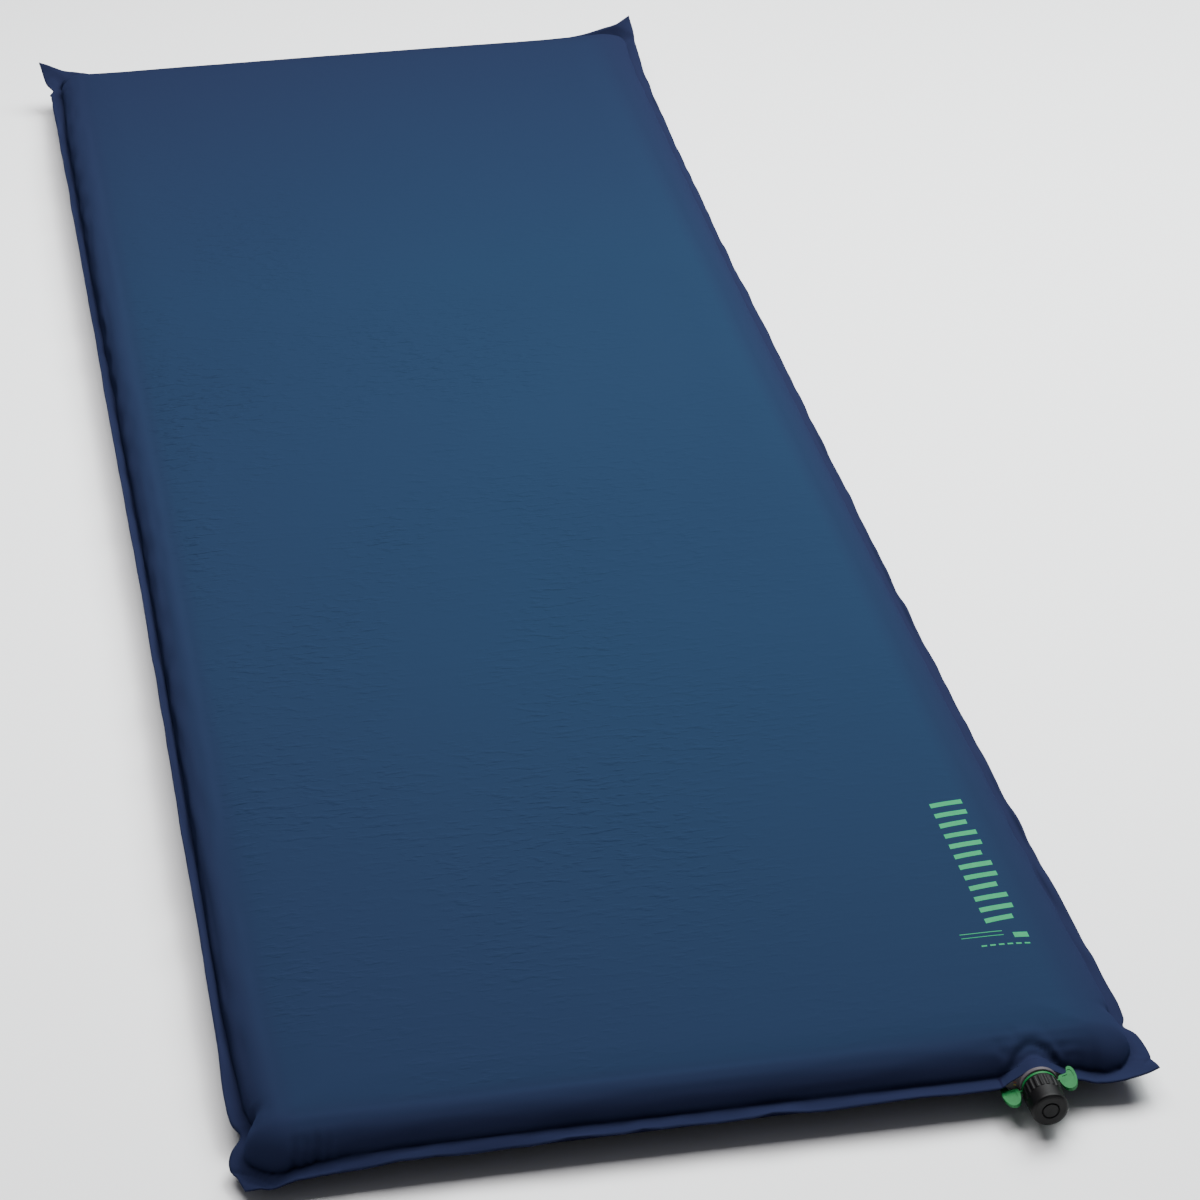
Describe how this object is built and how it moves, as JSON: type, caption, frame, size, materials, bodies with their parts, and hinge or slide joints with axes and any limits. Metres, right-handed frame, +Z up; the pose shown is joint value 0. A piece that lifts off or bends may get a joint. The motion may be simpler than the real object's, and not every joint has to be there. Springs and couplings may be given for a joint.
{
  "type": "self-inflating sleeping pad",
  "caption": "Rectangular self-inflating foam sleeping pad with welded seam border, corner ears and a twist valve with a wing toggle at one end.",
  "frame": {"origin": "centre of the underside, on the floor", "axes": "+Y along the pad's length, away from the valve end; +Z up, away from the floor; +X across the pad, towards the valve's side"},
  "size_m": [0.6512, 2.0066, 0.05],
  "materials": {
    "top_fabric": "navy coated polyester cloth, fine plain weave, soft sheen",
    "bottom_fabric": "dark navy coated polyester cloth, matt",
    "foam": "open-cell polyurethane foam",
    "boot": "soft grey moulded urethane",
    "valve_plastic": "black moulded plastic, satin",
    "inner_plastic": "natural moulded plastic",
    "toggle": "green moulded plastic, satin",
    "seal": "black nitrile rubber",
    "silicone": "translucent silicone",
    "pin": "stainless steel"
  },
  "bodies": {
    "pad": {"top_fabric": "top_fabric", "bottom_fabric": "bottom_fabric", "foam_core": "foam", "valve_boot": "boot", "valve_stem": "valve_plastic", "stem_lock_ring": "inner_plastic", "lock_ring_seal": "seal", "toggle_inner_seal": "seal", "plug_seal": "seal", "flapper_pin": "pin"},
    "toggle": {"wing_toggle": "toggle", "toggle_outer_seal": "seal"},
    "lifter": {"lifter": "inner_plastic"},
    "flapper": {"flapper": "inner_plastic", "flapper_pad": "silicone"},
    "cap_slider": {"cap_seal": "seal"},
    "cap": {"valve_cap": "valve_plastic"}
  },
  "joints": [
    {"name": "toggle_turn", "type": "hinge", "parent": "pad", "child": "toggle", "pos_m": [0.243, -0.9885, 0.025], "axis": [0, -1, 0], "range_deg": [0, 45]},
    {"name": "lifter_slide", "type": "slide", "parent": "toggle", "child": "lifter", "axis": [0, 1, 0], "range_m": [0, 0.003]},
    {"name": "flapper_swing", "type": "hinge", "parent": "pad", "child": "flapper", "pos_m": [0.243, -0.9624, 0.0326], "axis": [1, 0, 0], "range_deg": [0, 28]},
    {"name": "cap_rise", "type": "slide", "parent": "pad", "child": "cap_slider", "axis": [0, -1, 0], "range_m": [0, 0.0045]},
    {"name": "cap_turn", "type": "hinge", "parent": "cap_slider", "child": "cap", "pos_m": [0.243, -1.0033, 0.025], "axis": [0, -1, 0], "range_deg": [0, 180]}
  ],
  "couplings": [
    {"joint": "lifter_slide", "follows": "toggle_turn", "m_per_rad": 0.0038197},
    {"joint": "flapper_swing", "follows": "toggle_turn", "ratio": 0.6222},
    {"joint": "cap_rise", "follows": "cap_turn", "m_per_rad": 0.0014323}
  ]
}
